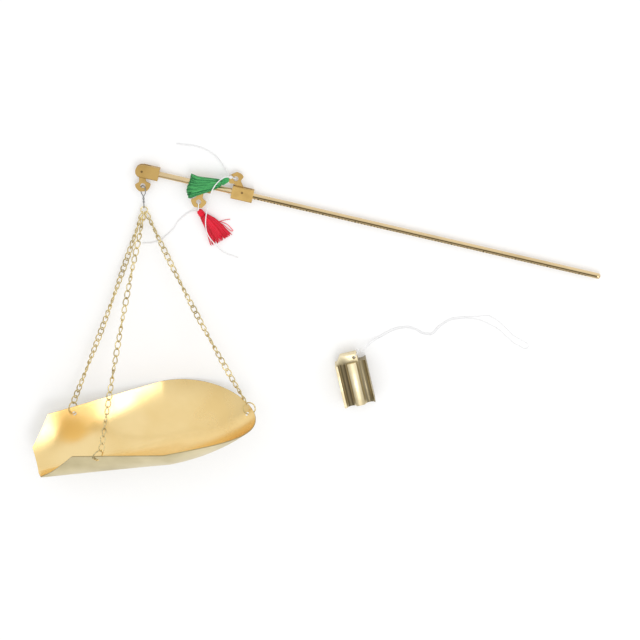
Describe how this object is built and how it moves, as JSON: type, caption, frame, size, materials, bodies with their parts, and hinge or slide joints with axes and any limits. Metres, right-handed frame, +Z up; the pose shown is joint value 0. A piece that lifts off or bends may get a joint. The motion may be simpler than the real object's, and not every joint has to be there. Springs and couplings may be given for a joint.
{
  "type": "steelyard with scoop pan",
  "caption": "Small brass steelyard laid flat: graduated beam with hangers, a chain-hung scoop pan, two tassels and a loose fluted poise on a thread.",
  "frame": {"origin": "on the table, straight below the beam's axis at the main fulcrum pin", "axes": "+X along the beam towards the tip of its scale, +Z up from the table, +Y across the beam, away from the pan"},
  "size_m": [0.3455, 0.2393, 0.0722],
  "materials": {
    "brass": "drawn and cut, slightly dull",
    "plate_brass": "stamped sheet",
    "pin_brass": "dull",
    "chain_brass": "pale, bright",
    "pan_brass": "polished sheet",
    "poise_brass": "drawn bar, brushed",
    "steel_wire": "bright wire",
    "green_silk": "shiny thread",
    "red_silk": "shiny thread",
    "white_cord": "cotton thread"
  },
  "bodies": {
    "beam": {"beam_rod_head": "brass", "beam_rod_middle": "brass", "beam_rod_scale": "brass", "beam_tip_cap": "brass", "load_clevis": "brass", "main_clevis": "brass", "second_clevis": "brass", "load_pin": "pin_brass", "main_pin": "pin_brass", "second_pin": "pin_brass"},
    "load_hanger": {"load_hanger": "plate_brass"},
    "pan": {"wire_link": "steel_wire", "chain_top_ring": "chain_brass", "chain_near": "chain_brass", "chain_far": "chain_brass", "chain_end": "chain_brass", "pan_ring_near": "chain_brass", "pan_ring_far": "chain_brass", "pan_ring_end": "chain_brass", "scoop_pan": "pan_brass"},
    "main_hanger": {"main_hanger": "plate_brass"},
    "green_tassel": {"green_string_loop": "white_cord", "green_knot": "white_cord", "green_tassel_head": "green_silk", "green_tassel": "green_silk", "green_string_end": "white_cord", "green_string_tail": "white_cord"},
    "second_hanger": {"second_hanger": "plate_brass"},
    "red_tassel": {"red_string_loop": "white_cord", "red_knot": "white_cord", "red_tassel_head": "red_silk", "red_tassel": "red_silk", "red_string_end": "white_cord"},
    "poise": {"poise": "poise_brass", "poise_string_loop": "white_cord", "poise_knot": "white_cord", "poise_string": "white_cord"}
  },
  "joints": [
    {"name": "load_hanger_swing", "type": "hinge", "parent": "beam", "child": "load_hanger", "pos_m": [-0.0674, -0.0003, 0.003], "axis": [0, 0, 1], "range_deg": [-20, 6]},
    {"name": "pan_swing", "type": "hinge", "parent": "load_hanger", "child": "pan", "pos_m": [-0.06481, -0.00975, 0.003], "axis": [0, 0, 1], "range_deg": [-15, 6]},
    {"name": "main_hanger_swing", "type": "hinge", "parent": "beam", "child": "main_hanger", "pos_m": [0, 0.0011, 0.003], "axis": [0, 0, 1], "range_deg": [-4, 6]},
    {"name": "green_tassel_swing", "type": "hinge", "parent": "main_hanger", "child": "green_tassel", "pos_m": [-0.00593, 0.00891, 0.003], "axis": [0, 0, 1], "range_deg": [-3, 6]},
    {"name": "second_hanger_swing", "type": "hinge", "parent": "beam", "child": "second_hanger", "pos_m": [-0.027, -0.0022, 0.003], "axis": [0, 0, 1], "range_deg": [-8, 8]},
    {"name": "red_tassel_swing", "type": "hinge", "parent": "second_hanger", "child": "red_tassel", "pos_m": [-0.02659, -0.01199, 0.003], "axis": [0, 0, 1], "range_deg": [-8, 8]},
    {"name": "poise_slide", "type": "slide", "parent": "beam", "child": "poise", "axis": [1, 0, 0], "range_m": [-0.01, 0.11]}
  ]
}
